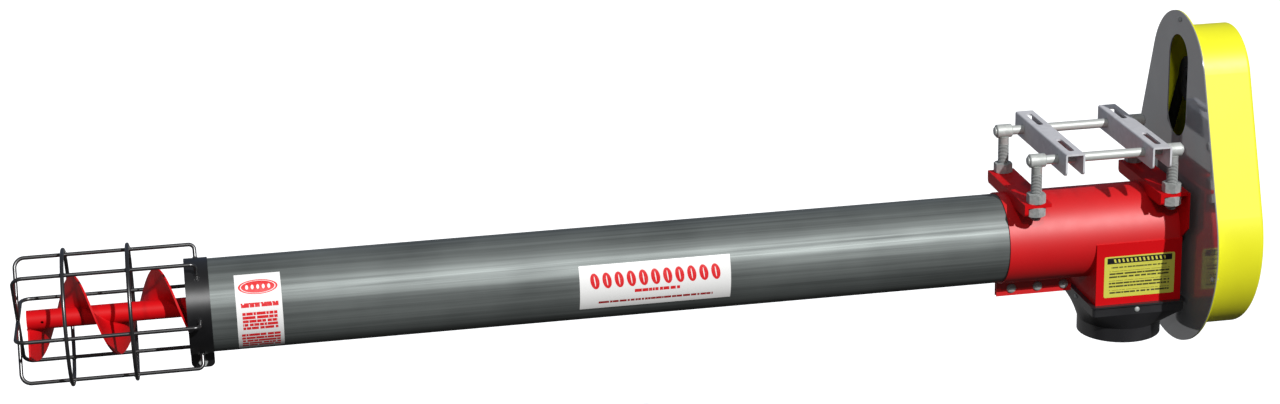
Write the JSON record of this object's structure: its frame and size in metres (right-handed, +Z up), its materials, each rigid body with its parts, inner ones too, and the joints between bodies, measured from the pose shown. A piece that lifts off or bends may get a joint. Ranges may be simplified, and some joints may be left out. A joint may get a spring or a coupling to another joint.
{
  "type": "grain auger",
  "caption": "Tube auger with a caged screw intake, red discharge head with a square-to-round spout, guarded belt drive and a slotted motor base.",
  "frame": {"origin": "centre of the spout's round mouth, in its open end face", "axes": "+X along the tube from the intake to the belt drive, +Z up, the spout opens towards -Z"},
  "size_m": [2.0503, 0.406, 0.5788],
  "materials": {
    "tube_steel": "galvanised, faint lengthwise streaks",
    "screw_red": "gloss enamel, lightly worn",
    "black_steel": "satin black",
    "black_plastic": "moulded, slightly glossy",
    "red_paint": "gloss enamel",
    "zinc": "bright zinc",
    "rod_steel": "bright drawn steel",
    "rail_steel": "pale grey, satin",
    "bearing_steel": "ground steel",
    "housing_iron": "machined and cast faces",
    "belt_rubber": "matt",
    "plate_steel": "polished sheet",
    "yellow_paint": "gloss enamel"
  },
  "bodies": {
    "housing": {"tube": "tube_steel", "cage_bar_1": "black_steel", "cage_bar_2": "black_steel", "cage_bar_3": "black_steel", "cage_bar_4": "black_steel", "cage_bar_5": "black_steel", "cage_bar_6": "black_steel", "cage_ring_outer": "black_steel", "cage_ring_inner": "black_steel", "intake_collar": "black_steel", "outlet_spout": "black_plastic", "head_sleeve": "red_paint", "discharge_box": "red_paint", "end_plate": "red_paint", "bracket_intake_side": "red_paint", "bracket_drive_side": "red_paint", "collar_bolt": "zinc", "collar_nut": "zinc", "pinch_bolts": "zinc", "pinch_nuts": "zinc", "spout_screws": "zinc", "upper_nuts": "zinc", "lower_nuts": "zinc", "bearing_bolts": "zinc", "bearing_nuts": "zinc", "guard_screws": "zinc", "bearing_outer_ring": "bearing_steel", "bearing_balls": "bearing_steel", "bearing_housing": "housing_iron", "v_belt": "belt_rubber", "guard_plate": "plate_steel", "guard_cover": "yellow_paint"},
    "screw": {"core_pipe": "screw_red", "intake_flights": "screw_red", "tube_flights": "screw_red", "discharge_flight": "screw_red", "drive_shaft": "bearing_steel", "coupling_bolt": "zinc", "coupling_nut": "zinc", "bearing_inner_ring": "bearing_steel", "lock_collar": "bearing_steel", "lock_collar_screw": "bearing_steel", "driven_sheave": "housing_iron", "driven_set_screw": "bearing_steel", "sheave_key": "bearing_steel"},
    "motor_base": {"eye_bolt_intake_front": "zinc", "eye_bolt_intake_back": "zinc", "eye_bolt_drive_front": "zinc", "eye_bolt_drive_back": "zinc", "slide_rod_front": "rod_steel", "slide_rod_back": "rod_steel"},
    "rail_intake": {"motor_rail_intake_side": "rail_steel"},
    "rail_drive": {"motor_rail_drive_side": "rail_steel"},
    "motor_pulley": {"motor_sheave": "housing_iron", "motor_set_screw": "bearing_steel"}
  },
  "joints": [
    {"name": "screw_spin", "type": "hinge", "parent": "housing", "child": "screw", "pos_m": [0, 0, 0.185], "axis": [1, 0, 0], "continuous": true},
    {"name": "motor_base_lift", "type": "slide", "parent": "housing", "child": "motor_base", "axis": [0, 0, 1], "range_m": [-0.03, 0.004], "deforming": ["v_belt"]},
    {"name": "intake_rail_slide", "type": "slide", "parent": "motor_base", "child": "rail_intake", "axis": [1, 0, 0], "range_m": [-0.018, 0.05]},
    {"name": "drive_rail_slide", "type": "slide", "parent": "motor_base", "child": "rail_drive", "axis": [1, 0, 0], "range_m": [-0.05, 0.0045]},
    {"name": "motor_sheave_spin", "type": "hinge", "parent": "motor_base", "child": "motor_pulley", "pos_m": [0.1091, 0, 0.4418], "axis": [1, 0, 0], "continuous": true}
  ],
  "couplings": [
    {"joint": "motor_sheave_spin", "follows": "screw_spin", "ratio": 4.243}
  ]
}
